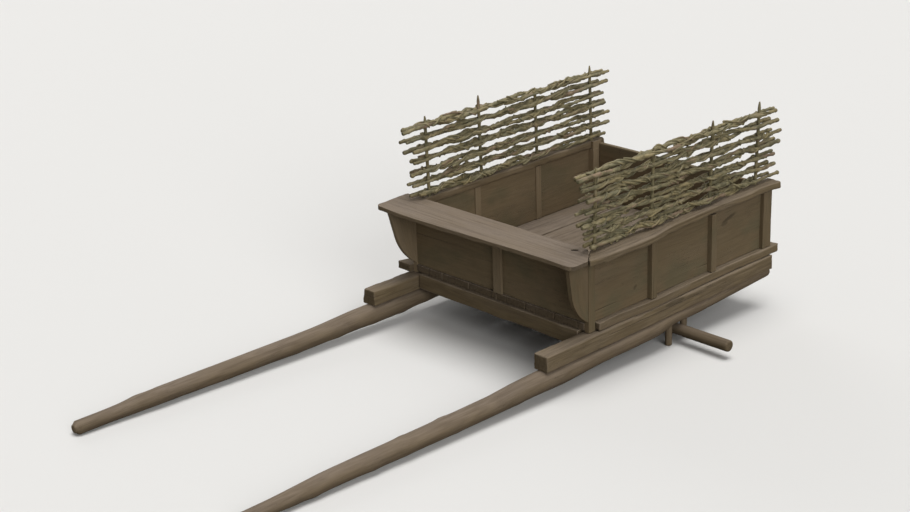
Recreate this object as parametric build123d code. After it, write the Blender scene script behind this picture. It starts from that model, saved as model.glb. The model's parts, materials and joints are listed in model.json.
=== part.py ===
from build123d import *
import os
from math import atan, cos, degrees, pi, sin

# Wooden two-wheeled farm cart, its wheels missing, resting on its shaft tips and guide pegs.
# Millimetres. The cart is drawn level, front towards -Y and its left side towards +X, with
# z = 0 on the load floor and y = 0 at the first posts. Each piece is then tipped forward by
# stand() and moved onto the ground.

# Body
half_width = 600        # centre line to the outer face of the side panels
panel_t = 24            # side, front and tail boards
panel_h = 305           # load floor to the underside of the rims
bay = 447               # from one post to the next
bay_count = 3
post_stray = (0, -23, -4, 0)    # how far each post stands from its even place
post_w = 42             # along the cart
post_proud = 28         # outside the panels
first_proud = 4         # the first posts are nearly flush
post_inside = 6         # inside the panels
corner_w = 70           # the rear corner posts are stouter
corner_inside = 36
corner_proud = 22
post_tenon_w = 24
post_tenon_t = 30
sill_tenon_h = 30       # posts into the sills
rim_tenon_h = 14        # posts into the rims

# Floor, sills and underframe
floor_t = 38
floor_count = 6
floor_gap = 3
floor_ledge = 10        # floor boards before the front board
sill_t = 46
sill_proud = 40         # outside the panels
sill_past = 55          # behind the tail board
sill_edge = 7           # worn off the top edge
# front ends before the first posts' backs, and the edges' waves, evenly spaced from front to rear
sill_ahead = {"left": 0, "right": 72}
sill_waves = {
    "left": (-10, -18, -4, 0, -6, -11, -13, -13, -10, -6),
    "right": (60, 10, -2, 0, -4, -8, -6, -10, -8, -4),
}
rail_w = 88
rail_h = 84
rail_proud = 38         # outside the panels
rail_past = 8           # behind the tail board
rail_ahead = 320        # before the floor boards
rail_edge = 11          # worn off the edges
beam_w = 80
beam_h = 86
beam_count = 3
beam_ahead = 16         # the first beam before the floor boards

# Front, seat and tail
front_inset = 1         # the front board behind the front face of the first posts
batten_w = 56
batten_t = 16
batten_x = 12
plank_t = 24
plank_front = -204
plank_rear = 30
plank_over_right = 88   # past the right side panel
plank_over_left = 52
plank_corner = 38       # radius of the front corners
plank_skew = 12         # the right end runs this much further out at the rear
# wave of the plank's front edge, evenly spaced from right to left
plank_wave = (4, -8, -10, -5, -1, 3, 8, 12, 13, 4)
# from the plank's front edge, then two points of the curve as place along the cart and depth
ears = {
    "left": (44, (-140, 136), (-104, 241)),
    "right": (8, (-160, 126), (-124, 214)),
}
ear_toe = 8             # height of the ears' lower end
tail_h = 334

# Rims
rim_w = 83
rim_proud = 40          # outside the panels
rim_t = 45
rim_past = 48           # behind the tail board
rim_edge = 10           # worn off the outer edges
# wave of the outer edge, evenly spaced from front to rear
rim_wave = (12, 28, 32, 29, 5, -6, -11, -9, -2, -12, 6)
rim_skew = {"left": 100, "right": 0}    # the outer edge starts this far before the inner one
rim_joint = 1           # gap between plank and rim

# Shafts, drawn through sections with many equal sides
shaft_sides = 24
# place along the cart, top and underside as depths under the rails
shaft_sections = [
    (-1960, 12, 76),
    (-1640, 3, 83),
    (-1180, 7, 94),
    (-700, 9, 102),
    (-430, -1, 101),
    (-230, -2, 104),
    (60, -3, 94),
    (440, -5, 93),
    (760, -9, 70),
    (1382, -14, 48),
]
shaft_tip_l = 130       # the round front end
shaft_tip_bevel = 10

# Axle and its guide pegs
axle_y = 645
axle_r = 31
axle_out = 320          # beyond the side panels
axle_gap = 1.4          # under the shafts
axle_bevel = 6
neck_depth = 1.5        # the axle is worn thinner between the pegs
neck_half = 45
peg_r = 18              # centre to flat
peg_sides = 12
# front and rear: between a peg and the axle, and a peg's foot below the axle's underside
peg_gap = (17, 1)
peg_below = (36, -6)
peg_sunk = 40           # into the shaft
peg_fit = 0.05          # around a peg in its hole
peg_bevel = 4

# Hurdles
stake_inset = 16        # from the rim's inner edge to the middle of the stakes
stake_r = 8             # centre to flat
stake_sides = 8
stake_tip_r = 3
stake_tip_l = 30        # whittled to a point
stake_sunk = 36         # into the rim
stake_fit = 0.05
lean = 1.5              # degrees outward
row_count = 7
row_first = 24          # lowest pair above the rim
row_top = 374
row_stray = 3           # how much a pair's height differs
rod_sides = 8
rod_r = 11.4            # centre to flat at the thick end
rod_thin = 0.8          # thin end, as a share of the thick end
rod_ahead = 48          # before the first posts, on average
rod_past = 62           # behind the tail board, on average
rod_stray = 26          # how much these differ
rod_rake = 50           # the top pair begins this much further forward than the lowest
grip = 6                # half the straight stretch at a stake
cross_lift = 1.2        # extra height where the two rods of a pair cross
cross_stray = 34        # how far a crossing is from the middle of its bay
belly = 0.72            # half way to a crossing: share of a rod's offset at the stake
# from front to rear: stakes from the middles of the posts, and their heights above the rim
stake_shifts = {"left": (48, 36, 22, -51), "right": (76, 32, -9, -17)}
stake_heights = {"left": (402, 398, 426, 438), "right": (420, 445, 396, 425)}

# Worked out from the above
post_ys = [i * bay + post_stray[i % len(post_stray)] for i in range(bay_count + 1)]
panel_in = half_width - panel_t
rim_top = panel_h + rim_t
plank_under = rim_top - plank_t
front_face = front_inset - post_w / 2
floor_front = front_face - floor_ledge
tail_face = post_ys[-1] + corner_w / 2
rail_top = -sill_t
beam_top = -floor_t
rail_under = rail_top - rail_h
rail_out = half_width + rail_proud
rail_in = rail_out - rail_w
rim_out = half_width + rim_proud
rim_in = rim_out - rim_w
shaft_x = (rail_in + rail_out) / 2
shaft_front = shaft_sections[0][0] - shaft_tip_l
axle_half = half_width + axle_out
stake_x = rim_in + stake_inset
first_back = post_ys[0] + post_w / 2


def block(x0, x1, y0, y1, z0, z1):
    """A timber between two corners."""
    size = Vector(x1 - x0, y1 - y0, z1 - z0)
    middle = ((x0 + x1) / 2, (y0 + y1) / 2, (z0 + z1) / 2)
    return Pos(*middle) * Box(size.X, size.Y, size.Z)


def mirrored(shape):
    """The same piece on the other side of the cart."""
    return shape.mirror(Plane.YZ)


def across(x, y, z):
    """A section plane square to the cart's length, with its own second axis upwards."""
    return Plane(origin=(x, y, z), x_dir=(1, 0, 0), z_dir=(0, -1, 0))


def evenly(start, end, offsets):
    """Pairs of place and offset, from start to end."""
    step = (end - start) / (len(offsets) - 1)
    return [(start + step * index, offset) for index, offset in enumerate(offsets)]


def prism(points, z0, z1):
    """An upright solid over an outline of corners."""
    return Pos(0, 0, z0) * extrude(make_face(Polyline(*points, close=True)), z1 - z0)


def many_sided(radius, sides):
    """An even-sided section with a flat underneath and a radius measured to its flats."""
    return RegularPolygon(radius / cos(pi / sides), sides, rotation=180 / sides)


def hewn(x, y, sides, profile):
    """An upright many-sided piece from heights and radii."""
    rings = [Pos(x, y, z) * many_sided(radius, sides) for z, radius in profile]
    return loft(rings, ruled=True)


def shaft_under(y):
    """Height of the shaft's underside at a place along the cart."""
    for (y0, _, low0), (y1, _, low1) in zip(shaft_sections, shaft_sections[1:]):
        if y0 <= y <= y1:
            return rail_under - low0 - (low1 - low0) * (y - y0) / (y1 - y0)
    raise ValueError("beyond the shaft")


axle_z = shaft_under(axle_y) - axle_r - axle_gap
peg_ys = [axle_y - axle_r - peg_r - peg_gap[0], axle_y + axle_r + peg_r + peg_gap[1]]
peg_feet = [axle_z - axle_r - below for below in peg_below]


def shaft():
    """A gently bent pole, hewn flat where it carries the rail and drilled for the pegs."""
    rings = []
    for y, top, low in shaft_sections:
        place = across(shaft_x, y, rail_under - (top + low) / 2)
        rings.append(place * many_sided((low - top) / 2, shaft_sides))
    _, top, low = shaft_sections[0]
    tip_plane = across(shaft_x, shaft_front, rail_under - (top + low) / 2)
    tip = extrude(tip_plane * Circle((low - top) / 2), -shaft_tip_l)
    tip = chamfer(tip.edges().sort_by(Axis.Y)[0], shaft_tip_bevel)
    pole = tip + loft(rings, ruled=True)
    seat_front = floor_front - rail_ahead
    pole -= block(rail_in - rail_w, rail_out + rail_w, seat_front, shaft_sections[-1][0] + 1,
                  rail_under, rail_top)
    for y, foot in zip(peg_ys, peg_feet):
        top = shaft_under(y) + peg_sunk
        pole -= hewn(shaft_x, y, peg_sides, [(foot, peg_r + peg_fit), (top, peg_r + peg_fit)])
    return pole


def pegs():
    """The two hewn pegs that keep the axle in place under one shaft."""
    made = []
    for y, foot in zip(peg_ys, peg_feet):
        top = shaft_under(y) + peg_sunk
        profile = [(foot, peg_r - peg_bevel), (foot + peg_bevel, peg_r), (top, peg_r)]
        made.append(hewn(shaft_x, y, peg_sides, profile))
    return Compound(made)


def axle():
    """The round wooden axle, worn where it runs between the pegs and bare at both ends."""
    neck_in = shaft_x - neck_half
    neck_out = shaft_x + neck_half
    worn_r = axle_r - neck_depth
    half = [
        (neck_in, axle_r),
        (neck_in, worn_r),
        (neck_out, worn_r),
        (neck_out, axle_r),
        (axle_half - axle_bevel, axle_r),
        (axle_half, axle_r - axle_bevel),
        (axle_half, 0),
    ]
    outline = half + [(-x, r) for x, r in reversed(half)]
    bar = revolve(make_face(Polyline(*outline, close=True)), Axis.X)
    return Pos(0, axle_y, axle_z) * bar


def post_sizes(index):
    """Half width along the cart, inner face and outer face of a post."""
    stout = index == bay_count
    width = corner_w if stout else post_w
    inside = corner_inside if stout else post_inside
    proud = corner_proud if stout else post_proud if index else first_proud
    return width / 2, panel_in - inside, half_width + proud


def tenon(y, z0, z1):
    middle = half_width
    return block(middle - post_tenon_t / 2, middle + post_tenon_t / 2,
                 y - post_tenon_w / 2, y + post_tenon_w / 2, z0, z1)


def posts(side):
    """The first post stands on the rail, the others are tenoned into sill and rim."""
    made = []
    for index, y in enumerate(post_ys):
        half, inner, outer = post_sizes(index)
        if index == 0:
            top = panel_h if rim_skew[side] else plank_under
            made.append(block(panel_in, outer, y - half, y + half, rail_top, top))
            continue
        post = block(inner, outer, y - half, y + half, 0, panel_h)
        if index == bay_count:
            post += block(inner, rim_in, y - half, y + half, panel_h, rim_top)
        post += tenon(y, -sill_tenon_h, 0)
        post += tenon(y, panel_h, panel_h + rim_tenon_h)
        made.append(post)
    return Compound(made)


def panel(index):
    """The side board between two posts."""
    front = post_ys[index] + post_sizes(index)[0]
    rear = post_ys[index + 1] - post_sizes(index + 1)[0]
    return block(panel_in, half_width, front, rear, 0, panel_h)


def joint_y(x, side):
    """Where the plank ends and the rim begins."""
    return plank_rear - rim_skew[side] * (x - rim_in) / (rim_out - rim_in)


def rim_room(side, z0):
    """What is left free above a height for the rim's slanting front end."""
    start = rim_in - rim_joint
    end = rim_out + rim_w
    outline = [(start, joint_y(rim_in, side) - rim_joint), (end, joint_y(end, side) - rim_joint),
               (end, plank_rear + rim_w), (start, plank_rear + rim_w)]
    return prism(outline, z0, rim_top + 1)


def ear(side):
    """The side's curved front end, which carries the seat plank."""
    back = post_ys[0] - post_w / 2
    inset, (bend_y, bend_depth), (curve_y, curve_depth) = ears[side]
    front = plank_front + inset
    bend = (bend_y, plank_under - bend_depth)
    curve = (curve_y, plank_under - curve_depth)
    flank = Plane(origin=(panel_in, 0, 0), x_dir=(0, 1, 0), z_dir=(1, 0, 0))
    outline = Wire([
        Line((back, ear_toe), (back, plank_under)),
        Line((back, plank_under), (front, plank_under)),
        Line((front, plank_under), bend),
        ThreePointArc(bend, curve, (back, ear_toe)),
    ])
    return extrude(flank * make_face(outline), panel_t) - rim_room(side, panel_h)


def sill(side):
    """The wavy-edged ledge along the side, on the rail, mortised for the posts."""
    front = first_back - sill_ahead[side]
    sections = []
    for y, wave in evenly(front, tail_face + sill_past, sill_waves[side]):
        edge = half_width + sill_proud + wave
        outline = Polyline((panel_in, rail_top), (edge, rail_top), (edge, -sill_edge),
                           (edge - sill_edge, 0), (panel_in, 0), close=True)
        sections.append(across(0, y, 0) * make_face(outline))
    ledge = loft(sections, ruled=True)
    if sill_ahead[side]:
        ledge -= block(0, post_sizes(0)[2], front - 1, first_back, rail_top - 1, 1)
    for y in post_ys[1:]:
        ledge -= tenon(y, -sill_tenon_h, 0)
    return ledge


def rail():
    """The squared timber between shaft and floor, its edges worn."""
    front = floor_front - rail_ahead
    outline = Polyline((rail_in, rail_under), (rail_out, rail_under),
                       (rail_out, rail_top - rail_edge), (rail_out - rail_edge, rail_top),
                       (rail_in + rail_edge, rail_top), (rail_in, rail_top - rail_edge),
                       close=True)
    return extrude(across(0, front, 0) * make_face(outline), front - tail_face - rail_past)


def cross_beam(index):
    """One of the beams under the floor, the last one flush with the tail board."""
    first = floor_front - beam_ahead
    last = tail_face - beam_w
    front = first + (last - first) * index / (beam_count - 1)
    return block(-rail_in, rail_in, front, front + beam_w, beam_top - beam_h, beam_top)


def floor_board(index):
    width = (2 * panel_in - (floor_count - 1) * floor_gap) / floor_count
    left = -panel_in + index * (width + floor_gap)
    return block(left, left + width, floor_front, tail_face, beam_top, 0)


def front_board():
    return block(-panel_in, panel_in, front_face, front_face + panel_t, 0, plank_under)


def front_batten():
    return block(batten_x - batten_w / 2, batten_x + batten_w / 2,
                 front_face - batten_t, front_face, 0, plank_under)


def tail_board():
    """Between the rear corner posts, flush with their backs."""
    reach = panel_in - corner_inside
    return block(-reach, reach, tail_face - panel_t, tail_face, 0, tail_h)


def seat_plank():
    """A board with a wavy front edge, cut out at its left end for the rim."""
    right = -half_width - plank_over_right
    left = half_width + plank_over_left
    front = [(x, plank_front + wave) for x, wave in evenly(right + plank_skew, left, plank_wave)]
    board = prism(front + [(left, plank_rear), (right, plank_rear)], plank_under, rim_top)
    uprights = board.edges().filter_by(Axis.Z)
    corners = [uprights.sort_by_distance((x, y, rim_top))[0] for x, y in (front[0], front[-1])]
    board = fillet(corners, plank_corner)
    return board - rim_room("left", plank_under - 1)


def leaned(shape):
    """Tips the left hurdle outward about the rim's top."""
    return shape.rotate(Axis((stake_x, 0, rim_top), (0, 1, 0)), lean)


def stake_places(side):
    """The stakes stand near the posts, the first one behind the plank."""
    shifts = stake_shifts[side]
    places = [y + shifts[index % len(shifts)] for index, y in enumerate(post_ys)]
    return [max(y, plank_rear + 2 * stake_r) for y in places]


def stakes(side):
    """Hewn sticks set in the rim, whittled to a point."""
    made = []
    for y, height in zip(stake_places(side), stake_heights[side]):
        top = rim_top + height
        profile = [
            (rim_top - stake_sunk, stake_r),
            (top - stake_tip_l, stake_r),
            (top, stake_tip_r),
        ]
        made.append(leaned(hewn(stake_x, y, stake_sides, profile)))
    return Compound(made)


def rim(side):
    """The wavy-edged top of a side, with the hurdle's holes and the posts' mortises."""
    front = plank_rear - rim_skew[side]
    sections = []
    for y, wave in evenly(front, tail_face + rim_past, rim_wave):
        edge = rim_out + wave
        outline = Polyline((rim_in, panel_h), (edge - rim_edge, panel_h),
                           (edge, panel_h + rim_edge), (edge, rim_top - rim_edge),
                           (edge - rim_edge, rim_top), (rim_in, rim_top), close=True)
        sections.append(across(0, y, 0) * make_face(outline))
    board = loft(sections, ruled=True)
    if rim_skew[side]:
        beyond = rim_out + rim_w
        end = [(rim_in - 1, joint_y(rim_in - 1, side)), (rim_in - 1, joint_y(beyond, side)),
               (beyond, joint_y(beyond, side))]
        board -= prism(end, panel_h - 1, rim_top + 1)
    for y in post_ys[1:]:
        board -= tenon(y, panel_h, panel_h + rim_tenon_h)
    hole = [(rim_top - stake_sunk, stake_r + stake_fit), (rim_top + 1, stake_r + stake_fit)]
    for y in stake_places(side):
        board -= leaned(hewn(stake_x, y, stake_sides, hole))
    return board


def rod(row, way, side):
    """One tapering rod, outside and inside the stakes by turns.

    The two rods of a pair grip each stake between them and cross in the middle of each bay.
    """
    rise = row / (row_count - 1)
    turn = 2.4 * (2 * row + way) + (1.7 if side == "left" else 0)
    start = post_ys[0] - rod_ahead - rod_rake * (rise - 0.5) - rod_stray * sin(turn)
    end = tail_face + rod_past + rod_stray * cos(turn)
    height = rim_top + row_first + (row_top - row_first) * rise + row_stray * sin(3 * row)

    # place along the cart, side of the stakes (1 outside), height in the crossing (1 above)
    stations = [(start, way, 0)]
    face = way
    places = stake_places(side)
    for index, y in enumerate(places):
        stations.append((y - grip, face, 0))
        stations.append((y + grip, face, 0))
        if y != places[-1]:
            above = way if index % 2 else -way
            ahead = places[index + 1]
            middle = (y + ahead) / 2 + cross_stray * sin(5 * row + 2 * index)
            stations.append(((y + middle) / 2, belly * face, above / 2))
            stations.append((middle, 0, above))
            stations.append(((middle + ahead) / 2, -belly * face, above / 2))
        face = -face
    stations.append((end, -face, 0))

    rings = []
    for y, face, above in stations:
        share = (y - start) / (end - start)
        if row % 2:
            share = 1 - share
        flat = rod_r * (1 - (1 - rod_thin) * share)
        place = across(stake_x + face * (stake_r + flat), y, height + above * (flat + cross_lift))
        rings.append(place * many_sided(flat, rod_sides))
    return leaned(loft(rings, ruled=True))


def rods(side):
    """Pairs of rods, one above another, begun on alternate sides of the first stake."""
    made = []
    for row in range(row_count):
        first = 1 if row % 2 else -1
        for way in (first, -first):
            made.append(rod(row, way, side))
    return Compound(made)


# How the cart rests: its shaft tips and its front pegs share the ground
tip_y = shaft_front + shaft_tip_bevel
tip_z = rail_under - shaft_sections[0][2]
foot_y = peg_ys[0] - peg_r + peg_bevel
rest_pitch = degrees(atan((tip_z - peg_feet[0]) / (foot_y - tip_y)))


def stand(shape):
    """Tips the level cart forward until shaft tips and front pegs share the ground."""
    return shape.rotate(Axis.X, rest_pitch)


parts = {}
for name, maker in (("shaft", shaft), ("rail", rail), ("guide_pegs", pegs)):
    left = maker()
    parts[name + "_left"] = left
    parts[name + "_right"] = mirrored(left)
for name, maker in (("sill", sill), ("posts", posts), ("front_ear", ear), ("rim", rim),
                    ("hurdle_stakes", stakes), ("hurdle_rods", rods)):
    parts[name + "_left"] = maker("left")
    parts[name + "_right"] = mirrored(maker("right"))
for index in range(bay_count):
    left = panel(index)
    parts[f"side_panel_left_{index + 1}"] = left
    parts[f"side_panel_right_{index + 1}"] = mirrored(left)
for index, name in enumerate(("front", "middle", "rear")):
    parts["cross_beam_" + name] = cross_beam(index)
for index in range(floor_count):
    parts[f"floor_board_{index + 1}"] = floor_board(index)
parts["front_board"] = front_board()
parts["front_batten"] = front_batten()
parts["tail_board"] = tail_board()
parts["seat_plank"] = seat_plank()
parts["axle"] = axle()

tipped = {name: stand(shape) for name, shape in parts.items()}
low = Vector(1e9, 1e9, 1e9)
high = Vector(-1e9, -1e9, -1e9)
for shape in tipped.values():
    box = shape.bounding_box()
    low = Vector(min(low.X, box.min.X), min(low.Y, box.min.Y), min(low.Z, box.min.Z))
    high = Vector(max(high.X, box.max.X), max(high.Y, box.max.Y), max(high.Z, box.max.Z))
ground = Vector(0, -(low.Y + high.Y) / 2, -low.Z)

os.makedirs("parts", exist_ok=True)
for name, shape in tipped.items():
    export_step(shape.moved(Location(ground)), f"parts/{name}.step")
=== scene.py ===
import json
import math
from collections import namedtuple
import bpy
import numpy as np
from mathutils import Matrix, Vector


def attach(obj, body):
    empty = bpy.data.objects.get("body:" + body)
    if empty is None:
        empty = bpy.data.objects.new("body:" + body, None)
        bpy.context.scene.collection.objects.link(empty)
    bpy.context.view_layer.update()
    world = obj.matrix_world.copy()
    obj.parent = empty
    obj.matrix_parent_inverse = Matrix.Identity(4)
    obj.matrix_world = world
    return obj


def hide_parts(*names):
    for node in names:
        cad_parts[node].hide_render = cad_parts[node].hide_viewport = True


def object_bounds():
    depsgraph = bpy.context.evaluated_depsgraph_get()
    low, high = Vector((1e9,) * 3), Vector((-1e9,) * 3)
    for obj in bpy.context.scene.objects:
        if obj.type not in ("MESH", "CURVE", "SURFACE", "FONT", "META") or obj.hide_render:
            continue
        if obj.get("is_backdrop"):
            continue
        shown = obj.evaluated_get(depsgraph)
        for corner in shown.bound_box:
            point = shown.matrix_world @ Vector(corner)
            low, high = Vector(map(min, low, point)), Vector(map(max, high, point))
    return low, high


# A weathered wooden hay cart. Metres. Pieces are shaped in the level cart frame: front towards -Y,
# the cart's left towards +X, z = 0 on the load floor and y = 0 at the first posts. They are then
# tipped forward as the cart rests.

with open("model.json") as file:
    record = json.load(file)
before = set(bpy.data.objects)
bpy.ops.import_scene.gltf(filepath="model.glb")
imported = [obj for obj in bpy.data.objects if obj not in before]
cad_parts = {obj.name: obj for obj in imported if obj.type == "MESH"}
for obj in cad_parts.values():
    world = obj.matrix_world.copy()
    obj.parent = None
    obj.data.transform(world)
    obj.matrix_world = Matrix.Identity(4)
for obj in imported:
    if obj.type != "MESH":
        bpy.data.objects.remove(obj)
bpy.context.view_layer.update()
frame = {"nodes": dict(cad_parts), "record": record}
nodes = frame["nodes"]
mounts = {m["name"]: m for m in frame["record"]["mounts"]}
rng = np.random.default_rng(11)


# The level cart frame, measured from the solids

up = mounts["seat_plank_top"]["axis"]
pitch = math.atan2(-up[1], up[2])
tip = np.array(Matrix.Rotation(pitch, 3, "X"))


def turned_level(node):
    """A solid's points, turned level but not moved, with equal points joined, and its triangles."""
    mesh = nodes[node].data
    points = np.array([v.co for v in mesh.vertices]) @ tip
    mesh.calc_loop_triangles()
    triangles = np.array([t.vertices for t in mesh.loop_triangles])
    points, index = np.unique(np.round(points, 5), axis=0, return_inverse=True)
    return points, index.ravel()[triangles]


def separate(points, triangles):
    """The points of each separate solid, from front to rear."""
    label = np.arange(len(points))
    while True:
        lowest = label[triangles].min(axis=1)
        new = label.copy()
        for corner in range(3):
            np.minimum.at(new, triangles[:, corner], lowest)
        if (new == label).all():
            break
        label = new
    found = [points[label == one] for one in np.unique(label)]
    return sorted(found, key=lambda solid: solid[:, 1].mean())


first_post = separate(*turned_level("posts_left"))[0]
floor_top = turned_level("floor_board_1")[0][:, 2].max()
origin = np.array([0, (first_post[:, 1].min() + first_post[:, 1].max()) / 2, floor_top])
cart = Matrix.Rotation(pitch, 4, "X") @ Matrix.Translation(origin)


def solids(node):
    """The separate solids of a CAD node in the level cart frame, from front to rear."""
    points, triangles = turned_level(node)
    return [solid - origin for solid in separate(points, triangles)]


def bounds(node):
    """Lowest and highest corner of a CAD node in the level cart frame."""
    points = turned_level(node)[0] - origin
    return points.min(axis=0), points.max(axis=0)


def section_reach(node, along, across, places):
    """Lowest and highest place across of a solid's sections at some places along it."""
    points, triangles = turned_level(node)
    points = points - origin
    edges = np.concatenate([triangles[:, [0, 1]], triangles[:, [1, 2]], triangles[:, [2, 0]]])
    start, end = points[edges[:, 0]], points[edges[:, 1]]
    reach = []
    for place in places:
        before, after = start[:, along] - place, end[:, along] - place
        cut = (before * after <= 0) & (before != after)
        share = before[cut] / (before[cut] - after[cut])
        value = start[cut, across] + share * (end[cut, across] - start[cut, across])
        reach.append((value.min(), value.max()))
    return np.array(reach)


# Noise and curves

# large odd numbers that scatter the corners of a cell
CORNER_STEPS = np.array([374761393, 668265263, 2147483647])
SEED_STEP = 1442695041
SCATTER = 1274126177


def value_noise(p, seed):
    """Smooth noise from -1 to 1 at each point."""
    cell = np.floor(p).astype(np.int64)
    f = p - cell
    f = f * f * (3 - 2 * f)
    total = np.zeros(len(p))
    for corner in range(8):
        d = np.array([corner & 1, corner >> 1 & 1, corner >> 2 & 1])
        n = ((cell + d) * CORNER_STEPS).sum(axis=1) + seed * SEED_STEP
        n = (n ^ (n >> 13)) * SCATTER & 0xFFFFFFFF
        n = (n ^ (n >> 16)) & 0xFFFFFF
        share = np.where(d, f, 1 - f).prod(axis=1)
        total += share * (n / 0x7FFFFF - 1)
    return total


def fractal(p, seed, octaves=3):
    """Noise with finer noise on it, about -1.5 to 1.5."""
    total, size = np.zeros(len(p)), 1.0
    for octave in range(octaves):
        total += size * value_noise(p * 2 ** octave, seed + octave)
        size /= 2
    return total


def smooth_step(a, b, x):
    """0 before a and 1 after b, smooth between them."""
    t = np.clip((x - a) / (b - a), 0, 1)
    return t * t * (3 - 2 * t)


def eased(xs, ys, x):
    """A smooth curve through the points (xs, ys) that doesn't overshoot them."""
    xs, ys = np.asarray(xs, float), np.asarray(ys, float)
    h, d = np.diff(xs), np.diff(ys) / np.diff(xs)
    slope = np.zeros(len(xs))
    same = d[1:] * d[:-1] > 0
    w1, w2 = 2 * h[1:] + h[:-1], h[1:] + 2 * h[:-1]
    with np.errstate(divide="ignore", invalid="ignore"):
        mean = (w1 + w2) / (w1 / d[:-1] + w2 / d[1:])
    slope[1:-1] = np.where(same, mean, 0)
    slope[0], slope[-1] = d[0], d[-1]
    i = np.clip(np.searchsorted(xs, x) - 1, 0, len(h) - 1)
    t = (x - xs[i]) / h[i]
    return ((2 * t ** 3 - 3 * t ** 2 + 1) * ys[i] + (t ** 3 - 2 * t ** 2 + t) * h[i] * slope[i]
            + (3 * t ** 2 - 2 * t ** 3) * ys[i + 1] + (t ** 3 - t ** 2) * h[i] * slope[i + 1])


# Forms

def form(points, quads, grain, crack_and_end_shade, edge):
    """Points and quads, with what the materials read at each point.

    grain is its place in the wood, along the grain first, crack_and_end_shade how deep it is in one of its
    cracks or holes, or how much an end face is painted darker, partly as painted shade, and edge how pale
    its edges are painted, partly from wear and partly as painted highlight, both from 0 to 1.
    """
    return {"points": points, "quads": quads, "grain": grain, "crack_and_end_shade": crack_and_end_shade, "edge": edge}


def joined(forms):
    """Several forms as one."""
    shift, quads = 0, []
    for one in forms:
        quads.append(one["quads"] + shift)
        shift += len(one["points"])
    whole = {key: np.concatenate([one[key] for one in forms]) for key in forms[0] if key != "quads"}
    whole["quads"] = np.concatenate(quads)
    return whole


def box_shell(counts):
    """Whole-number places and quads of the surface of a box divided into cells."""
    per_x = (counts[1] + 1) * (counts[2] + 1)
    per_y = counts[2] + 1
    quads = []
    for axis in range(3):
        u, v = [a for a in range(3) if a != axis]
        iu, iv = np.meshgrid(np.arange(counts[u] + 1), np.arange(counts[v] + 1), indexing="ij")
        for value in (0, counts[axis]):
            place = [None, None, None]
            place[u], place[v], place[axis] = iu, iv, np.full(iu.shape, value)
            key = place[0] * per_x + place[1] * per_y + place[2]
            quad = np.stack([key[:-1, :-1], key[1:, :-1], key[1:, 1:], key[:-1, 1:]], -1)
            quad = quad.reshape(-1, 4)
            quads.append(quad[:, ::-1] if (value == 0) != (axis == 1) else quad)
    used, index = np.unique(np.concatenate(quads), return_inverse=True)
    places = np.stack([used // per_x, used % per_x // per_y, used % per_y], -1)
    return places, index.reshape(-1, 4)


EDGE_STOPS = (0, 0.3, 0.65, 1.0, 1.6)     # shares of the edge's radius


def stops(length, step, edge, extra=()):
    """Where a side is divided: closely over its worn edges, evenly between, and at the cracks."""
    rim = [s * edge for s in EDGE_STOPS]
    count = max(1, round((length - 2 * rim[-1]) / step))
    inner = np.linspace(rim[-1], length - rim[-1], count + 1)
    return np.unique(np.round(np.concatenate([rim, inner, [length - r for r in rim], extra]), 6))


CRACK_HALF = 0.0016         # half a crack's width
CRACK_DEPTHS = (0.0025, 0.006)
FROM_AN_END = 0.65          # share of the cracks that start at an end


def crack_plan(width, length, count):
    """Random cracks along the grain: place across, start, end and depth."""
    plan = []
    for _ in range(count):
        across = rng.uniform(0.12, 0.88) * width
        reach = rng.uniform(0.12, 0.55) * length
        if rng.random() < FROM_AN_END:
            start, end = (0, reach) if rng.random() < 0.5 else (length - reach, length)
        else:
            start = rng.uniform(0.1, 0.8) * (length - reach)
            end = start + reach
        plan.append((across, start, end, rng.uniform(*CRACK_DEPTHS)))
    return plan


def crack_fade(run, start, end, length):
    """How open one of the cracks is along its run: it fades out, except at an end of the timber."""
    if start == 0:
        return 1 - smooth_step(0.3 * end, end, run)
    if end == length:
        return smooth_step(start, end - 0.3 * (end - start), run)
    return smooth_step(0, 0.2, 1 - np.abs(2 * (run - start) / (end - start) - 1))


# A hole or dent in a wide face: its place from the low corner, its size and depth, 1 for the far
# face or -1 for the near one, and its slant
Mark = namedtuple("Mark", "along across half_length half_width depth face slant")
MARK_STEPS = np.linspace(-1.1, 1.1, 11)
FULL_DARK = 0.004           # a mark this deep is as dark as a crack


def timber_cuts(size, along, cross, edge, step, across_step, plan, marks):
    """Where a timber is divided along each axis, closely at its edges, cracks and marks."""
    extra = [across + d for across, *_ in plan for d in (-CRACK_HALF, 0, CRACK_HALF)]
    for mark in marks:
        half = mark.half_width + abs(mark.slant) * mark.half_length
        extra += [mark.across + half * s for s in MARK_STEPS]
    extra_along = [m.along + m.half_length * s for m in marks for s in MARK_STEPS]
    cuts = [stops(length, across_step, edge) for length in size]
    cuts[along] = stops(size[along], step, edge, extra_along)
    cuts[cross] = stops(size[cross], across_step, edge, extra)
    return cuts


END_GRAIN_AND_SHADE = 0.4              # end faces are painted darker: partly the end grain's own colour, partly painted shade


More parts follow.
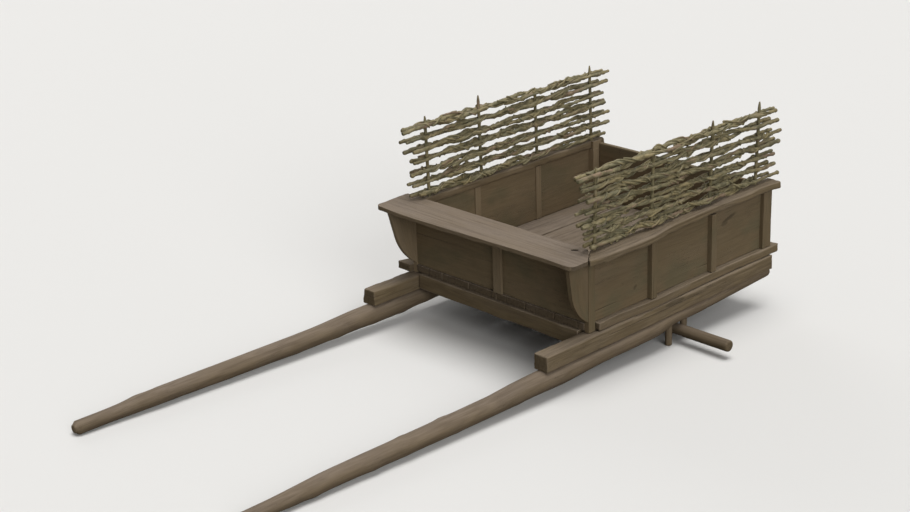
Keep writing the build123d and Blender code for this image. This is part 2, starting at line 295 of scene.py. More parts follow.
def timber(low, high, along, cross=1, edge=0.005, step=0.016, across_step=0.006, cracks=3,
           rough=0.0012, warp=None, chips=0.5, seated=1.0, marks=(), rub=0.6):
    """A worn timber between two corners, grain along one axis, cracked along the grain.

    cross is the wide way across the grain. warp, if given, moves the finished points. marks are its
    holes and dents, seated is the share of the rounding that the lower edges have, and rub is how
    pale the edges are painted, partly from wear and partly as painted highlight where edges catch the
    light.
    """
    low, high = np.asarray(low, float), np.asarray(high, float)
    size = high - low
    other = 3 - along - cross
    seed = int(rng.integers(1, 10 ** 6))
    plan = crack_plan(size[cross], size[along], cracks)
    cuts = timber_cuts(size, along, cross, edge, step, across_step, plan, marks)
    places, quads = box_shell([len(c) - 1 for c in cuts])
    p = np.stack([cuts[a][places[:, a]] for a in range(3)], -1)
    grain = np.stack([p[:, along], p[:, cross], p[:, other]], -1)

    # rounded, chipped edges
    half = size / 2
    q = p - half
    lumpy = np.stack([grain[:, 0] * 14, grain[:, 1] * 30, grain[:, 2] * 30], -1)
    chip = smooth_step(0.35, 0.9, fractal(lumpy, seed + 5)) * chips
    radius = edge * (0.75 + 0.35 * fractal(lumpy * 0.6, seed + 9) + 1.4 * chip)
    radius *= seated + (1 - seated) * smooth_step(-0.5, 0.3, q[:, 2] / half[2])
    radius = np.clip(radius, edge * 0.15, half.min() * 0.9)[:, None]
    core = np.clip(q, radius - half, half - radius)
    out = q - core
    reach = np.linalg.norm(out, axis=1, keepdims=True)
    normal = out / np.maximum(reach, 1e-9)
    worn = core + normal * radius

    # hand-worked faces and drying cracks
    coarse = np.stack([grain[:, 0] * 4, grain[:, 1] * 11, grain[:, 2] * 11], -1)
    fine = np.stack([grain[:, 0] * 9, grain[:, 1] * 90, grain[:, 2] * 90], -1)
    drop = rough * (0.8 + 0.7 * fractal(coarse, seed) + 0.3 * fractal(fine, seed + 3))
    # end faces painted darker: the end grain's own colour and painted shade
    crack_and_end_shade = END_GRAIN_AND_SHADE * smooth_step(0.6, 0.95, np.abs(normal[:, along]))
    facing = np.abs(normal[:, other]) > 0.7
    at_end = np.abs(normal[:, along]) > 0.7
    for across, start, end, depth in plan:
        near = np.abs(grain[:, 1] - across) < CRACK_HALF * 0.5
        open_share = crack_fade(grain[:, 0], start, end, size[along])
        face = 1 if across / size[cross] * 7 % 1 < 0.5 else -1
        on_face = facing & (normal[:, other] * face > 0)
        strength = near * open_share * (on_face | (at_end & (open_share > 0.9)))
        crack_and_end_shade = np.maximum(crack_and_end_shade, strength)
        drop = drop + depth * strength
    for mark in marks:
        ahead = grain[:, 0] - mark.along
        aside = grain[:, 1] - mark.across - mark.slant * ahead
        inside = np.clip(1 - (ahead / mark.half_length) ** 2 - (aside / mark.half_width) ** 2, 0, 1)
        inside = inside * (normal[:, other] * mark.face > 0.5)
        drop = drop + mark.depth * inside
        crack_and_end_shade = np.maximum(crack_and_end_shade, smooth_step(0, 0.35, inside) * min(1, mark.depth / FULL_DARK))
    worn = worn - normal * drop[:, None]

    # the grain wanders, and the cracks with it
    wander = np.stack([grain[:, 0] * 2.2, grain[:, 1] * 4, grain[:, 2] * 0], -1)
    inside = np.clip(1 - np.abs(q[:, cross] / half[cross]) ** 6, 0, 1)
    worn[:, cross] += 0.006 * value_noise(wander, seed + 21) * inside * min(1, size[cross] / 0.15)

    points = worn + half + low
    if warp is not None:
        points = warp(points)
    pith = rng.uniform(0.015, 0.05) + size[other]
    offset = np.array([rng.uniform(0, 50), -size[cross] * rng.uniform(0.3, 0.7), pith])
    # edges painted paler: partly wear, partly painted highlight
    rubbed = rub * smooth_step(0.1, 0.6, np.sort(np.abs(normal), axis=1)[:, 1])
    return form(points, quads, grain + offset, crack_and_end_shade, rubbed)


def pole(path, radii, around=24, rough=0.03, seed=None, lumps=(), cap=0.35):
    """A round form along a path with a radius at each point, its ends rounded by the share cap.

    lumps are knots: place along in metres, angle, height and size.
    """
    seed = int(rng.integers(1, 10 ** 6)) if seed is None else seed
    path, radii = np.asarray(path, float), np.asarray(radii, float)
    run = np.concatenate([[0], np.cumsum(np.linalg.norm(np.diff(path, axis=0), axis=1))])
    tangent = np.gradient(path, axis=0)
    tangent /= np.linalg.norm(tangent, axis=1, keepdims=True)

    # rings: the ends are closed by shrinking rings, at shares of the radius inward and of its size
    caps = [(0.0, 0.08), (0.0, 0.5), (0.0, 1 - cap), (0.35 * cap, 1 - 0.25 * cap), (cap, 1.0)]
    rows = [(0, *one) for one in caps]
    rows += [(i, None, 1.0) for i in range(1, len(path) - 1)]
    rows += [(len(path) - 1, *one) for one in reversed(caps)]
    angle = np.arange(around) / around * 2 * math.pi
    points, grain = [], []
    upright = np.array([0.0, 0.0, 1.0])
    for i, inward, shrink in rows:
        t = tangent[i]
        side = np.cross(t, upright if abs(t[2]) < 0.9 else np.array([0.0, 1.0, 0.0]))
        side /= np.linalg.norm(side)
        high = np.cross(side, t)
        centre, along = path[i], run[i]
        if inward is not None:
            ahead = inward * radii[i] * (1 if i == 0 else -1)
            centre, along = centre + t * ahead, along + ahead
        ring = np.stack([np.cos(angle), np.sin(angle)], -1)
        where = np.concatenate([np.full((around, 1), along * 7), ring * radii[i] * 60], axis=1)
        r = radii[i] * (1 + rough * fractal(where, seed))
        for place, direction, height, size in lumps:
            turn = np.abs((angle - direction + math.pi) % (2 * math.pi) - math.pi)
            r = r + height * np.exp(-((along - place) / size) ** 2 - (turn * radii[i] / size) ** 2)
        r = r * shrink
        points.append(centre + ring[:, :1] * r[:, None] * side + ring[:, 1:] * r[:, None] * high)
        grain.append(np.concatenate([np.full((around, 1), along), ring * r[:, None]], axis=1))
    count = len(points)
    index = np.arange(count * around).reshape(count, around)
    nxt = np.roll(index, -1, axis=1)
    quads = np.stack([index[:-1], index[1:], nxt[1:], nxt[:-1]], -1).reshape(-1, 4)
    first, last = index[0], index[-1]
    lid = [[ring[k], ring[k + 1], ring[around - k - 2], ring[around - k - 1]]
           for ring in (first, last[::-1]) for k in range(around // 2 - 1)]
    offset = np.array([rng.uniform(0, 50), 0, 0])
    sound = np.zeros(count * around)
    return form(np.concatenate(points), np.concatenate([quads, lid]), np.concatenate(grain) + offset,
                sound, sound)


def piece(name, forms, material, replaced, body="cart"):
    """Makes one object of some forms, tips it as the cart rests and puts it on its body."""
    whole = joined(forms)
    mesh = bpy.data.meshes.new(name)
    mesh.from_pydata(whole["points"].tolist(), [], whole["quads"].tolist())
    mesh.validate()
    mesh.transform(cart)
    mesh.update()
    mesh.shade_smooth()
    mesh.attributes.new("grain", "FLOAT_VECTOR", "POINT").data.foreach_set(
        "vector", whole["grain"].astype(np.float32).ravel())
    for key in ("crack_and_end_shade", "edge"):
        mesh.attributes.new(key, "FLOAT", "POINT").data.foreach_set("value", whole[key].astype(np.float32))
    normals = np.zeros(len(mesh.vertices) * 3, np.float32)
    mesh.vertex_normals.foreach_get("vector", normals)
    mesh.attributes.new("sky", "FLOAT", "POINT").data.foreach_set(
        "value", np.clip(normals.reshape(-1, 3)[:, 2], 0, 1).astype(np.float32))
    mesh.materials.append(material)
    made = bpy.data.objects.new(name, mesh)
    bpy.context.scene.collection.objects.link(made)
    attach(made, body)
    if replaced:
        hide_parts(*replaced)
    return made


# Materials

class Tree:
    """Short calls for the nodes of one material."""

    def __init__(self, name):
        self.material = bpy.data.materials.new(name)
        self.material.use_nodes = True
        self.tree = self.material.node_tree
        self.shader = self.tree.nodes["Principled BSDF"]

    def new(self, kind, values=None, **settings):
        node = self.tree.nodes.new("ShaderNode" + kind)
        for key, value in settings.items():
            setattr(node, key, value)
        for key, value in (values or {}).items():
            self.put(node.inputs[key], value)
        return node

    def put(self, socket, value):
        if isinstance(value, bpy.types.NodeSocket):
            self.tree.links.new(value, socket)
        else:
            socket.default_value = value

    def attribute(self, name, output="Fac"):
        return self.new("Attribute", attribute_name=name).outputs[output]

    def scaled(self, vector, scale):
        return self.new("VectorMath", {0: vector, 1: scale}, operation="MULTIPLY").outputs[0]

    def noise(self, vector, scale, detail=3.0, roughness=0.5, distortion=0.0):
        node = self.new("TexNoise", {"Vector": vector, "Scale": scale, "Detail": detail,
                                     "Roughness": roughness, "Distortion": distortion})
        return node.outputs["Fac"]

    def ranged(self, value, from_low, from_high, to_low=0.0, to_high=1.0):
        node = self.new("MapRange", {"Value": value, "From Min": from_low, "From Max": from_high,
                                     "To Min": to_low, "To Max": to_high})
        return node.outputs["Result"]

    def math(self, operation, a, b):
        return self.new("Math", {0: a, 1: b}, operation=operation).outputs[0]

    def mixed(self, share, a, b, way="MIX"):
        node = self.new("Mix", data_type="RGBA", blend_type=way)
        self.put(node.inputs["Factor"], share)
        self.put(node.inputs[6], a)
        self.put(node.inputs[7], b)
        return node.outputs[2]


# the dark of cracks, holes and fine lines, also used for the painted shade on end faces
CRACK_AND_SHADE_DARK = (0.012, 0.009, 0.006, 1)
MOSS = (0.115, 0.108, 0.062, 1)
WARM = (0.205, 0.150, 0.092, 1)


def wood(name, bleached, brown, dark, ring=0.0045, streak=0.5, green=0.0, contrast=1.0):
    """Bare weathered wood: yearly rings, fibres, grey bleaching on upper faces, stains and cracks, end
    faces painted darker partly as painted shade, and edges painted paler partly as painted highlight.

    ring is the width of a yearly ring. streak, green and contrast are how strong the stains, the moss
    and the rings with the fibres are.
    """
    t = Tree(name)
    grain = t.attribute("grain", "Vector")
    sky = t.attribute("sky")
    crack_and_end_shade = t.attribute("crack_and_end_shade")
    edge = t.attribute("edge")

    bend = t.noise(t.scaled(grain, (2.5, 22, 22)), 1.0, 3.0)
    distance = t.new("VectorMath", {0: t.scaled(grain, (0.02, 1, 1))}, operation="LENGTH").outputs["Value"]
    distance = t.math("ADD", distance, t.ranged(bend, 0, 1, -0.012, 0.012))
    rings = t.math("SINE", t.math("MULTIPLY", distance, 2 * math.pi / ring), 0.0)
    rings = t.ranged(rings, -1, 1)
    fibres = t.noise(t.scaled(grain, (9, 420, 420)), 1.0, 5.0, 0.65)
    streaks = t.noise(t.scaled(grain, (1.8, 60, 60)), 1.0, 4.0, 0.6)
    patches = t.noise(t.scaled(grain, (3.0, 7.0, 7.0)), 1.0, 4.0, 0.6)
    specks = t.noise(grain, 160.0, 3.0, 0.7)

    grey = t.math("ADD", t.ranged(sky, 0.1, 0.9, 0.0, 0.8), t.ranged(patches, 0.3, 0.75, -0.25, 0.45))
    colour = t.mixed(grey, brown, bleached)
    colour = t.mixed(t.ranged(rings, 0.2, 1.0, 0.0, 0.28 * contrast), colour, dark)
    colour = t.mixed(t.ranged(streaks, 0.48, 0.72, 0.0, streak), colour, dark)
    colour = t.mixed(t.ranged(fibres, 0.45, 0.75, 0.0, 0.4 * contrast), colour, dark)
    light = t.ranged(fibres, 0.5, 0.25, 0.0, 0.3)
    colour = t.mixed(light, colour, bleached)
    if green:
        moss = t.ranged(t.noise(t.scaled(grain, (0.6, 1, 1)), 7.0, 3.0, 0.5), 0.47, 0.62, 0.0, green)
        colour = t.mixed(moss, colour, MOSS)
        warm = t.ranged(t.noise(t.scaled(grain, (0.5, 1, 1)), 5.0, 3.0, 0.5), 0.50, 0.64, 0.0, green)
        colour = t.mixed(warm, colour, WARM)
    # edges painted paler, partly from wear and partly as painted highlight
    pale = [min(1.0, value * 1.2) for value in bleached[:3]] + [1]
    colour = t.mixed(t.math("MULTIPLY", edge, t.ranged(streaks, 0.3, 0.7, 0.75, 0.3)), colour, pale)
    lines = t.noise(t.scaled(grain, (2.2, 95, 95)), 1.0, 2.0)
    thin = t.math("MULTIPLY", t.ranged(lines, 0.495, 0.5), t.ranged(lines, 0.505, 0.5))
    thin = t.math("MULTIPLY", thin, t.ranged(patches, 0.5, 0.62))
    # fine dark lines, cracks and holes, and end faces painted darker, these last partly as painted shade
    grime_and_painted_shade = t.math("MAXIMUM", t.math("MULTIPLY", thin, 0.75), t.math("MULTIPLY", crack_and_end_shade, 0.9))
    colour = t.mixed(grime_and_painted_shade, colour, CRACK_AND_SHADE_DARK)
    colour = t.mixed(t.ranged(specks, 0.62, 0.8, 0.0, 0.35), colour, dark)
    t.put(t.shader.inputs["Base Color"], colour)
    t.put(t.shader.inputs["Roughness"], t.ranged(fibres, 0.3, 0.7, 0.72, 0.95))
    t.shader.inputs["Specular IOR Level"].default_value = 0.25

    height = t.math("ADD", t.math("MULTIPLY", rings, 0.35), t.math("MULTIPLY", fibres, 0.8))
    height = t.math("ADD", height, t.math("MULTIPLY", thin, -1.6))
    height = t.math("ADD", height, t.math("MULTIPLY", specks, 0.15))
    bump = t.new("Bump", {"Strength": 0.55, "Distance": 0.0016, "Height": height})
    t.put(t.shader.inputs["Normal"], bump.outputs[0])
    return t.material


boards = wood("weathered_boards", bleached=(0.250, 0.200, 0.154, 1), brown=(0.204, 0.152, 0.092, 1),
              dark=(0.068, 0.047, 0.028, 1), contrast=0.7)
panels = wood("smooth_boards", bleached=(0.191, 0.145, 0.090, 1), brown=(0.178, 0.131, 0.073, 1),
              dark=(0.074, 0.052, 0.029, 1), ring=0.006, streak=0.25, green=0.45, contrast=0.35)
# paler copies of the panel and board woods, painted light: they brighten parts that the lamps leave in
# shade, the right side's boards, posts and ear, the front board and its batten
painted_light_panels = wood("smooth_boards_painted_light", bleached=(0.235, 0.180, 0.114, 1), brown=(0.223, 0.166, 0.095, 1),
                  dark=(0.090, 0.064, 0.035, 1), ring=0.006, streak=0.25, green=0.45, contrast=0.35)
painted_light_boards = wood("painted_light_boards", bleached=(0.278, 0.220, 0.155, 1), brown=(0.278, 0.210, 0.128, 1),
                   dark=(0.110, 0.080, 0.047, 1), streak=0.3, contrast=0.4)
timbers = wood("hewn_timber", bleached=(0.233, 0.184, 0.131, 1), brown=(0.204, 0.152, 0.085, 1),
               dark=(0.069, 0.048, 0.027, 1), ring=0.0055, contrast=0.7)
poles = wood("round_poles", bleached=(0.220, 0.172, 0.128, 1), brown=(0.204, 0.153, 0.095, 1),
             dark=(0.074, 0.053, 0.032, 1), ring=0.006, contrast=0.7)
dark_poles = wood("worn_bar", bleached=(0.176, 0.136, 0.098, 1), brown=(0.165, 0.123, 0.072, 1),
                  dark=(0.064, 0.045, 0.025, 1), ring=0.006, contrast=0.6)


def bark():
    """Dry thin bark: khaki, yellowish, grey-green and here and there bare and pinkish, with wrinkles."""
    t = Tree("rod_bark")
    grain = t.attribute("grain", "Vector")
    sky = t.attribute("sky")
    wrinkles = t.noise(t.scaled(grain, (18, 420, 420)), 1.0, 4.0, 0.6)
    blotches = t.noise(t.scaled(grain, (24, 60, 60)), 1.0, 3.0, 0.6)
    stretches = t.noise(t.scaled(grain, (5, 6, 6)), 1.0, 2.0)
    bare = t.noise(t.scaled(grain, (4.2, 25, 25)), 1.0, 2.0)
    colour = t.mixed(t.ranged(stretches, 0.38, 0.62), (0.202, 0.187, 0.110, 1), (0.314, 0.255, 0.130, 1))
    colour = t.mixed(t.ranged(bare, 0.58, 0.66, 0.0, 0.8), colour, (0.275, 0.182, 0.127, 1))
    colour = t.mixed(t.ranged(blotches, 0.48, 0.62, 0.0, 0.7), colour, (0.090, 0.077, 0.040, 1))
    colour = t.mixed(t.ranged(blotches, 0.44, 0.34, 0.0, 0.6), colour, (0.363, 0.308, 0.198, 1))
    colour = t.mixed(t.ranged(wrinkles, 0.5, 0.75, 0.0, 0.5), colour, (0.066, 0.055, 0.030, 1))
    colour = t.mixed(t.ranged(sky, 0.5, 1.0, 0.0, 0.15), colour, (0.259, 0.226, 0.154, 1))
    t.put(t.shader.inputs["Base Color"], colour)
    t.put(t.shader.inputs["Roughness"], t.ranged(blotches, 0.3, 0.7, 0.6, 0.85))
    t.shader.inputs["Specular IOR Level"].default_value = 0.3
    height = t.math("ADD", wrinkles, t.math("MULTIPLY", blotches, 1.5))
    bump = t.new("Bump", {"Strength": 0.7, "Distance": 0.0012, "Height": height})
    t.put(t.shader.inputs["Normal"], bump.outputs[0])
    return t.material


rod_bark = bark()


# Boards of the body

X, Y, Z = 0, 1, 2
TUCK = 0.005


def boarded(node, along, cross, slot="weathered_board", material=boards, tucked=0, **settings):
    """A worn timber in the place of a plain node. tucked is how far its ends go into what holds them."""
    low, high = bounds(node)
    low[along] -= tucked
    high[along] += tucked
    return piece(node + "_worn", [timber(low, high, along, cross, **settings)], material, [node])


# Holes and dents that the photo shows on the cart's left side
panel_marks = {
    "side_panel_left_1": [
        Mark(0.297, 0.085, half_length=0.014, half_width=0.012, depth=0.0015, face=1, slant=0.3)],
    "side_panel_left_3": [
        Mark(0.134, 0.243, half_length=0.062, half_width=0.010, depth=0.002, face=1, slant=0.25),
        Mark(0.10, 0.222, half_length=0.03, half_width=0.012, depth=0.0015, face=1, slant=0.1)],
}
# a shallow dent on the left rail's outer face under the sill, darkened as a painted shadow of the gap under
# the sill's edge
rail_painted_shadow = [Mark(0.926, 0.066, half_length=0.080, half_width=0.016, depth=0.0018, face=1, slant=0)]
plank_marks = [Mark(1.196, 0.196, half_length=0.017, half_width=0.018, depth=0.012, face=1, slant=0.4)]

# what the boards of each side are made of; the right side's paler copies are painted light for its shaded
# inner faces
side_boards = {"left": panels, "right": painted_light_panels}
upright_boards = {"left": panels, "right": painted_light_boards}

for number in range(1, 7):
    boarded(f"floor_board_{number}", Y, X, cracks=3, edge=0.004, step=0.02, across_step=0.008, rub=0.9)
for side in ("left", "right"):
    for number in range(1, 4):
        node = f"side_panel_{side}_{number}"
        boarded(node, Y, Z, material=side_boards[side], tucked=TUCK, cracks=1, edge=0.002,
                marks=panel_marks.get(node, ()))
# the front board and its batten take the paler copies, painted light for their shade under the plank
boarded("front_board", X, Z, material=painted_light_panels, tucked=TUCK, cracks=2, edge=0.003)
boarded("front_batten", Z, X, material=painted_light_boards, edge=0.003, cracks=1)
boarded("tail_board", X, Z, material=panels, cracks=5, edge=0.006)
for place in ("front", "middle", "rear"):
    boarded(f"cross_beam_{place}", X, Z, "squared_timber", timbers, edge=0.010, across_step=0.01, step=0.03,
            rough=0.0018, cracks=2, rub=1.8)
for side in ("left", "right"):
    boarded(f"rail_{side}", Y, Z, "squared_timber", timbers, edge=0.017, rough=0.003, cracks=2, seated=0.2,
            marks=rail_painted_shadow if side == "left" else ())


# Seat plank: its front corners rounded, its front edge wavy, its left end cut for the rim

low, high = bounds("seat_plank")
CORNER = 0.038              # radius of the front corners
FADE = 0.3                  # how far a slanting end bends the grain
between = np.linspace(low[0] + 1.5 * CORNER, high[0] - 1.2 * CORNER, 60)
plank_front = section_reach("seat_plank", X, Y, between)[:, 0] - low[1]
all_along = np.linspace(low[0] + 0.001, high[0] - 0.001, 80)
plank_back = section_reach("seat_plank", X, Y, all_along)[:, 1]
plank_depths = np.linspace(low[1] + 1.5 * CORNER, high[1] - 0.002, 12)
plank_end = section_reach("seat_plank", Y, X, plank_depths)[:, 0] - low[0]


def plank_shape(points):
    """Rounds the plank's front corners and gives its edges and its right end their solid's lines."""
    moved = points.copy()
    for side, corner_x in ((1, high[0] - CORNER), (-1, low[0] + CORNER)):
        d = (points[:, :2] - (corner_x, low[1] + CORNER)) * (side, -1)
        inside = (d > 0).all(axis=1)
        far = np.maximum(d.max(axis=1), 1e-9) / np.maximum(np.linalg.norm(d, axis=1), 1e-9)
        moved[inside, :2] = (np.array([corner_x, low[1] + CORNER]) + d * (side, -1) * far[:, None])[inside]
    x, y = moved[:, 0].copy(), moved[:, 1].copy()
    middle = low[1] + 1.5 * CORNER
    rear = np.interp(x, all_along, plank_back)
    y = np.minimum(y, middle) + np.clip((y - middle) / (high[1] - middle), 0, 1) * (rear - middle)
    share = (moved[:, 1] - low[1]) / (high[1] - low[1])
    moved[:, 1] = y + np.interp(x, between, plank_front) * (1 - share)
    moved[:, 0] = x + np.interp(y, plank_depths, plank_end) * np.clip(1 - (x - low[0]) / FADE, 0, 1)
    return moved


plank = timber(low, high, X, Y, edge=0.005, cracks=3, warp=plank_shape, marks=plank_marks, rub=0.2)
PITH = (7, 0.4)             # where the plank was cut, along its tree and beside its middle
plank["grain"][:, :2] = plank["points"][:, :2] + PITH
piece("seat_plank_worn", [plank], boards, ["seat_plank"])


# Sills and rims

def ledge_shape(node):
    """Gives a straight timber its solid's wavy outer edge and the line of its front end."""
    low, high = bounds(node)
    left = high[0] > 0
    inner, outer = (low[0], high[0]) if left else (high[0], low[0])
    ys = np.linspace(low[1] + 0.001, high[1] - 0.001, 90)
    edge = section_reach(node, Y, X, ys)[:, 1 if left else 0]
    shares = np.linspace(0.01, 0.99, 40)
    front = section_reach(node, X, Y, inner + shares * (edge[0] - inner))[:, 0] - low[1]

    def move(points):
        moved = points.copy()
        share = (points[:, 0] - inner) / (outer - inner)
        moved[:, 1] += np.interp(share, shares, front) * np.clip(1 - (points[:, 1] - low[1]) / FADE, 0, 1)
        moved[:, 0] = inner + share * (np.interp(moved[:, 1], ys, edge) - inner)
        return moved
    return move


for side in ("left", "right"):
    sill, rim = f"sill_{side}", f"rim_{side}"
    boarded(sill, Y, X, "squared_timber", timbers, edge=0.010, rough=0.0025, cracks=2, rub=1.3,
            warp=ledge_shape(sill))
    boarded(rim, Y, X, "squared_timber", timbers, edge=0.017, rough=0.0035, cracks=2, warp=ledge_shape(rim))


# Posts

POST_LAP = 0.02             # how far the rear post's upper stretch reaches down into its lower one
sill_top = bounds("sill_left")[1][2]
rim_low, rim_high = bounds("rim_left")
rim_in = rim_low[0]
for side in ("left", "right"):
    forms = []
    for number, solid in enumerate(solids(f"posts_{side}")):
        low, high = solid.min(axis=0), solid.max(axis=0)
        if number:
            low[2], high[2] = sill_top, rim_low[2]
        else:
            low[1] -= TUCK
        forms.append(timber(low, high, Z, Y, edge=0.0025, cracks=1, across_step=0.005))
        if number == 3:
            low[2], high[2] = rim_low[2] - POST_LAP, rim_high[2]
            low[0], high[0] = max(low[0], -rim_in), min(high[0], rim_in)
            forms.append(timber(low, high, Z, Y, edge=0.004, cracks=0, across_step=0.005))
    piece(f"posts_{side}_worn", forms, upright_boards[side], [f"posts_{side}"])


# Ears

def ear_shape(node):
    """Gives an upright board the curved front edge of its solid."""
    low, high = bounds(node)
    zs = np.linspace(low[2] + 0.0005, high[2] - 0.0005, 60)
    front = section_reach(node, Z, Y, zs)[:, 0]

    def move(points):
        moved = points.copy()
        share = (high[1] - points[:, 1]) / (high[1] - low[1])
        moved[:, 1] = high[1] - share * (high[1] - np.interp(points[:, 2], zs, front))
        return moved
    return move


for side in ("left", "right"):
    ear = f"front_ear_{side}"
    boarded(ear, Z, Y, material=upright_boards[side], edge=0.002, cracks=1, warp=ear_shape(ear), step=0.012)


# Shafts, measured from the sections of the solids

RING_POINTS = 12            # a section of the loft has at least so many points
RING_WIDTH = 0.04           # and this width, unlike the few points that holes and cut faces add


def shaft_stations(node):
    """Places along the cart, centre heights, radii and the middle of a shaft's sections."""
    points = solids(node)[0]
    found = []
    for y in np.unique(np.round(points[:, 1], 4)):
        ring = points[np.abs(points[:, 1] - y) < 1e-4]
        width = ring[:, 0].max() - ring[:, 0].min()
        if len(ring) >= RING_POINTS and width > RING_WIDTH:
            found.append((y, ring[:, 2].min() + width / 2, width / 2, ring[:, 0].mean()))
    return np.array(found)


SHAFT_STEP = 0.02
KNOTS = 14
KNOT_RANGES = ((0.2, 3.2), (0, 6.28), (0.002, 0.005), (0.02, 0.05))
rail_low = bounds("rail_left")[0]
for side in ("left", "right"):
    stations = shaft_stations(f"shaft_{side}")
    ys = np.arange(stations[0, 0], stations[-1, 0], SHAFT_STEP)
    ys[-1] = stations[-1, 0]
    middle = stations[:, 3].mean()
    path = np.stack([np.full(len(ys), middle), ys, eased(stations[:, 0], stations[:, 1], ys)], -1)
    radii = eased(stations[:, 0], stations[:, 2], ys)
    knots = [[rng.uniform(*span) for span in KNOT_RANGES] for _ in range(KNOTS)]
    one = pole(path, radii, around=40, rough=0.02, lumps=knots)
    seated = one["points"][:, 1] > rail_low[1]
    one["points"][seated, 2] = np.minimum(one["points"][seated, 2], rail_low[2])
    piece(f"shaft_{side}_worn", [one], poles, [f"shaft_{side}"])


# Pegs and axle

PEG_RINGS = 14
PEG_PLAY = 0.0005           # how much thinner the round pegs are than their solids
for side in ("left", "right"):
    forms = []
    for solid in solids(f"guide_pegs_{side}"):
        low, high = solid.min(axis=0), solid.max(axis=0)
        path = np.tile((low + high) / 2, (PEG_RINGS, 1))
        path[:, 2] = np.linspace(low[2], high[2], PEG_RINGS)
        radii = np.full(PEG_RINGS, (high[0] - low[0]) / 2 - PEG_PLAY)
        forms.append(pole(path, radii, around=20, rough=0.02, cap=0.25))
    piece(f"guide_pegs_{side}_worn", forms, poles, [f"guide_pegs_{side}"])

AXLE_RINGS = 130
AXLE_PLAY = 0.0012          # how much thinner than its solid, so that it clears the shafts
NECK_DEPTH = 0.0015         # worn off between the pegs
low, high = bounds("axle")
centre = (low + high) / 2
points = solids("axle")[0]
ring_r = np.linalg.norm((points - centre)[:, 1:], axis=1)
on_neck = (ring_r > 0.9 * ring_r.max()) & (ring_r < ring_r.max() - 0.001)
neck_from, neck_to = np.abs(points[on_neck, 0]).min(), np.abs(points[on_neck, 0]).max()
path = np.tile(centre, (AXLE_RINGS, 1))
path[:, 0] = np.linspace(low[0], high[0], AXLE_RINGS)
out = np.abs(path[:, 0])
neck = (smooth_step(neck_from - 0.008, neck_from + 0.004, out)
        * (1 - smooth_step(neck_to - 0.004, neck_to + 0.008, out)))
radii = ring_r.max() - AXLE_PLAY - NECK_DEPTH * neck
bar = pole(path, radii, around=36, rough=0.012, cap=0.25)
piece("axle_worn", [bar], dark_poles, ["axle"], body="axle")


# Hurdles: stakes and woven rods that follow the solids

def ring_line(solid):
    """Centre and radius of each section of a rod, from front to rear."""
    found = []
    for y in np.unique(np.round(solid[:, 1], 4)):
        ring = solid[np.abs(solid[:, 1] - y) < 2e-4]
        found.append((*ring.mean(axis=0), (ring[:, 2].max() - ring[:, 2].min()) / 2))
    return np.array(found)


ROD_STEP = 0.006
ROD_PLAY = 0.0006           # how much thinner than its solid, before its nodes
STUB_RADII = np.array([0.0052, 0.0046, 0.0040, 0.0036])
SHOOTS = 12                 # side shoots wound round each rod
SHOOT_RADII = (0.0046, 0.0068)
SHOOT_TIP_R = 0.0030


def woven_rod(solid):
    """A rod with swollen nodes, wandering a little, with stubs and side shoots wound round it."""
    line = ring_line(solid)
    seed = int(rng.integers(1, 10 ** 6))
    ys = np.arange(line[0, 1], line[-1, 1], ROD_STEP)
    ys[-1] = line[-1, 1]
    x = eased(line[:, 1], line[:, 0], ys)
    z = eased(line[:, 1], line[:, 2], ys)
    r = eased(line[:, 1], line[:, 3], ys)
    along = np.stack([ys * 9, np.zeros(len(ys)), np.zeros(len(ys))], -1)
    x = x + 0.0014 * fractal(along, seed)
    z = z + 0.0030 * fractal(along, seed + 40)
    node_at = line[0, 1] + rng.uniform(0.01, 0.05)
    nodes_at = []
    while node_at < line[-1, 1]:
        nodes_at.append(node_at)
        node_at += rng.uniform(0.035, 0.085)
    r = r * (0.97 + 0.10 * fractal(along * 3, seed + 80)) - ROD_PLAY
    for place in nodes_at:
        r = r + rng.uniform(0.0012, 0.0034) * np.exp(-((ys - place) / rng.uniform(0.006, 0.012)) ** 2)
    path = np.stack([x, ys, z], -1)
    forms = [pole(path, r, around=10, rough=0.09, cap=0.4)]
    for place in nodes_at[1:-1]:
        if rng.random() < 0.4:
            i = int(np.searchsorted(ys, place))
            turn = rng.uniform(0, 2 * math.pi)
            side = np.array([math.cos(turn), rng.uniform(0.3, 0.9), math.sin(turn)])
            side /= np.linalg.norm(side)
            stub = path[i] + side * np.linspace(0, rng.uniform(0.012, 0.019), len(STUB_RADII))[:, None]
            forms.append(pole(stub, STUB_RADII, around=8, rough=0.05, cap=0.3))
    for _ in range(SHOOTS):
        count = int(rng.integers(20, 60))
        first = int(rng.integers(4, len(ys) - count - 4))
        turn = rng.uniform(0, 2 * math.pi) + rng.choice((-1, 1)) * np.linspace(0, rng.uniform(4, 11), count)
        thick = np.linspace(rng.uniform(*SHOOT_RADII), SHOOT_TIP_R, count)
        out = np.stack([np.cos(turn), np.zeros(count), np.sin(turn)], -1)
        shoot = path[first:first + count] + out * (r[first:first + count] + 0.55 * thick)[:, None]
        forms.append(pole(shoot, thick, around=6, rough=0.10, cap=0.5))
    return joined(forms)


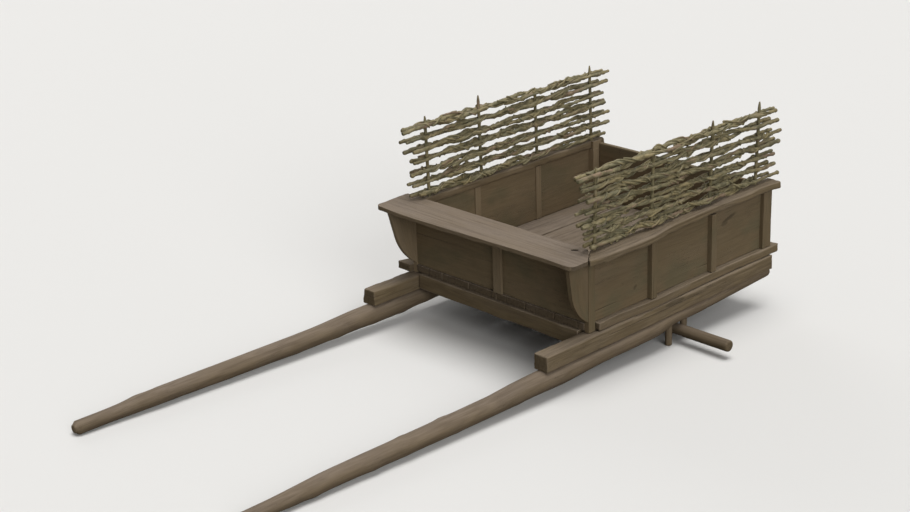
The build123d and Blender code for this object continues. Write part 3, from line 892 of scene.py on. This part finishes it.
STAKE_TIP_R = 0.0038
STAKE_TIP_L = 0.030         # whittled to a point
STAKE_RINGS = 60
STAKE_KNOTS = 5
NEAR = 0.003                # a solid's points within this of its top or foot are that end's
for side in ("left", "right"):
    forms = [woven_rod(solid) for solid in solids(f"hurdle_rods_{side}")]
    piece(f"hurdle_rods_{side}_woven", forms, rod_bark, [f"hurdle_rods_{side}"])
    forms = []
    for solid in solids(f"hurdle_stakes_{side}"):
        top = solid[solid[:, 2] > solid[:, 2].max() - NEAR].mean(axis=0)
        lowest = solid[solid[:, 2] < solid[:, 2].min() + NEAR]
        foot = lowest.mean(axis=0)
        wide = (lowest[:, 1].max() - lowest[:, 1].min()) / 2
        share = np.linspace(0, 1, STAKE_RINGS)[:, None]
        path = foot * (1 - share) + top * share
        left_over = (1 - share[:, 0]) * np.linalg.norm(top - foot)
        radii = np.interp(left_over, [0, STAKE_TIP_L, 0.2], [STAKE_TIP_R, wide, wide * 1.04])
        lumps = [(rng.uniform(0.05, 0.40), rng.uniform(0, 6.28), 0.002, 0.008) for _ in range(STAKE_KNOTS)]
        forms.append(pole(path, radii, around=16, rough=0.05, cap=0.6, lumps=lumps))
    piece(f"hurdle_stakes_{side}_cut", forms, rod_bark, [f"hurdle_stakes_{side}"])


# Floor, light and camera

def plain(name, shown, bounced):
    """A matt floor: the camera sees it pale, while it sends little light up onto the cart."""
    t = Tree(name)
    ray = t.new("LightPath").outputs["Is Camera Ray"]
    t.put(t.shader.inputs["Base Color"], t.mixed(ray, bounced, shown))
    t.shader.inputs["Roughness"].default_value = 0.9
    return t.material


bpy.ops.mesh.primitive_plane_add(size=60, location=(0, 0, 0))
floor = bpy.context.object
floor.name = "studio_floor"
floor.data.materials.append(plain("studio_floor", (0.80, 0.79, 0.77, 1), (0.06, 0.055, 0.045, 1)))
floor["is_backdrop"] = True

# The world sends little light onto the cart, but is pale in the picture and in gloss
WORLD_LIGHT = 0.14
WORLD_SEEN = 0.9
world = bpy.data.worlds.new("studio")
bpy.context.scene.world = world
world.use_nodes = True
sky_tree = world.node_tree
background = sky_tree.nodes["Background"]
background.inputs["Color"].default_value = (1.0, 0.99, 0.97, 1)
ray = sky_tree.nodes.new("ShaderNodeLightPath")
strength = sky_tree.nodes.new("ShaderNodeMapRange")
strength.inputs["To Min"].default_value = WORLD_LIGHT
strength.inputs["To Max"].default_value = WORLD_SEEN
seen = sky_tree.nodes.new("ShaderNodeMath")
seen.operation = "MAXIMUM"
sky_tree.links.new(ray.outputs["Is Camera Ray"], seen.inputs[0])
sky_tree.links.new(ray.outputs["Is Glossy Ray"], seen.inputs[1])
sky_tree.links.new(seen.outputs[0], strength.inputs["Value"])
sky_tree.links.new(strength.outputs["Result"], background.inputs["Strength"])


def sun(name, azimuth, elevation, strength, softness):
    """A soft lamp far away, placed by the compass: azimuth 0 is at -Y, 90 at +X."""
    data = bpy.data.lights.new(name, "SUN")
    data.energy = strength
    data.angle = math.radians(softness)
    lamp = bpy.data.objects.new(name, data)
    bpy.context.scene.collection.objects.link(lamp)
    a, e = math.radians(azimuth), math.radians(elevation)
    towards = Vector((math.sin(a) * math.cos(e), -math.cos(a) * math.cos(e), math.sin(e)))
    lamp.rotation_mode = "QUATERNION"
    lamp.rotation_quaternion = towards.to_track_quat("Z", "Y")


sun("above", 110, 85, 2.1, 40)
sun("side low", 64, 13, 0.74, 35)
sun("side high", 74, 32, 0.65, 35)
sun("behind", 250, 18, 0.5, 40)

# Where the photograph was taken from, in the level cart frame
CAMERA_AT = (5.3527, -5.3760, 3.1192)
CAMERA_AZIMUTH = 46.524
CAMERA_ELEVATION = 21.101
CAMERA_ROLL = -1.980
CAMERA_LENS = 65.74
SENSOR = 36.0

camera_data = bpy.data.cameras.new("camera")
camera_data.sensor_width = SENSOR
camera_data.lens = CAMERA_LENS
camera_data.clip_end = 200
camera = bpy.data.objects.new("camera", camera_data)
bpy.context.scene.collection.objects.link(camera)
a, e = math.radians(CAMERA_AZIMUTH), math.radians(CAMERA_ELEVATION)
back = Vector((math.sin(a) * math.cos(e), -math.cos(a) * math.cos(e), math.sin(e)))
right = Vector((0, 0, 1)).cross(back).normalized()
above = back.cross(right)
axes = Matrix((right, above, back)).transposed()
roll = Matrix.Rotation(math.radians(CAMERA_ROLL), 3, "Z")
camera.matrix_world = cart @ Matrix.LocRotScale(Vector(CAMERA_AT), (axes @ roll).to_quaternion(), None)
bpy.context.scene.camera = camera

bpy.context.scene.view_settings.view_transform = "Standard"

low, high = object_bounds()
